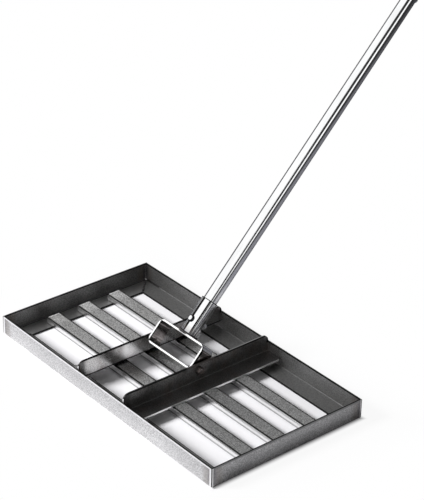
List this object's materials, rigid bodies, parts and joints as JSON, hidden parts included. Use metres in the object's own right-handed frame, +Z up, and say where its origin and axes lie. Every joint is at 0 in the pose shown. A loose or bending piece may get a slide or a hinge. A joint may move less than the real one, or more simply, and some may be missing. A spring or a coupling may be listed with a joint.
{
  "type": "lawn leveling rake",
  "caption": "Lawn leveling rake: a flat welded steel frame with slats and cross brackets, and a long straight tube handle that tilts on a bolted yoke.",
  "frame": {"origin": "middle of the front rail's flat underside, on the ground", "axes": "+X along the head to the right seen from the front, +Y to the rear, where the handle leans, +Z up"},
  "size_m": [0.46, 1.223, 1.157],
  "materials": {
    "frame_steel": "bare rolled mill finish, bright on the folds",
    "yoke_steel": "bright polished",
    "fastener_steel": "zinc plated",
    "handle_aluminium": "smooth, bright",
    "grip_rubber": "matte black",
    "cap_plastic": "matte black"
  },
  "bodies": {
    "head": {"front_rail": "frame_steel", "rear_rail": "frame_steel", "left_end_rail": "frame_steel", "right_end_rail": "frame_steel", "front_slat": "frame_steel", "middle_slat": "frame_steel", "rear_slat": "frame_steel", "left_cross_bracket": "frame_steel", "right_cross_bracket": "frame_steel", "left_bolt_washer": "fastener_steel", "right_bolt_washer": "fastener_steel", "left_pivot_spacer": "fastener_steel", "right_pivot_spacer": "fastener_steel"},
    "handle": {"yoke_loop": "yoke_steel", "socket_tube": "yoke_steel", "left_pivot_bolt": "fastener_steel", "right_pivot_bolt": "fastener_steel", "socket_bolt": "fastener_steel", "socket_washer": "fastener_steel", "socket_nut": "fastener_steel", "lower_sleeve_bolt_1": "fastener_steel", "lower_sleeve_bolt_2": "fastener_steel", "lower_sleeve_nut_1": "fastener_steel", "lower_sleeve_nut_2": "fastener_steel", "upper_sleeve_bolt_1": "fastener_steel", "upper_sleeve_bolt_2": "fastener_steel", "upper_sleeve_nut_1": "fastener_steel", "upper_sleeve_nut_2": "fastener_steel", "lower_handle_tube": "handle_aluminium", "middle_handle_tube": "handle_aluminium", "upper_handle_tube": "handle_aluminium", "lower_sleeve": "handle_aluminium", "upper_sleeve": "handle_aluminium", "handle_grip": "grip_rubber", "end_cap": "cap_plastic"}
  },
  "joints": [
    {"name": "handle_pivot", "type": "hinge", "parent": "head", "child": "handle", "pos_m": [-0.004, 0.112, 0.03], "axis": [1, 0, 0], "range_deg": [-40.5, 129]}
  ]
}
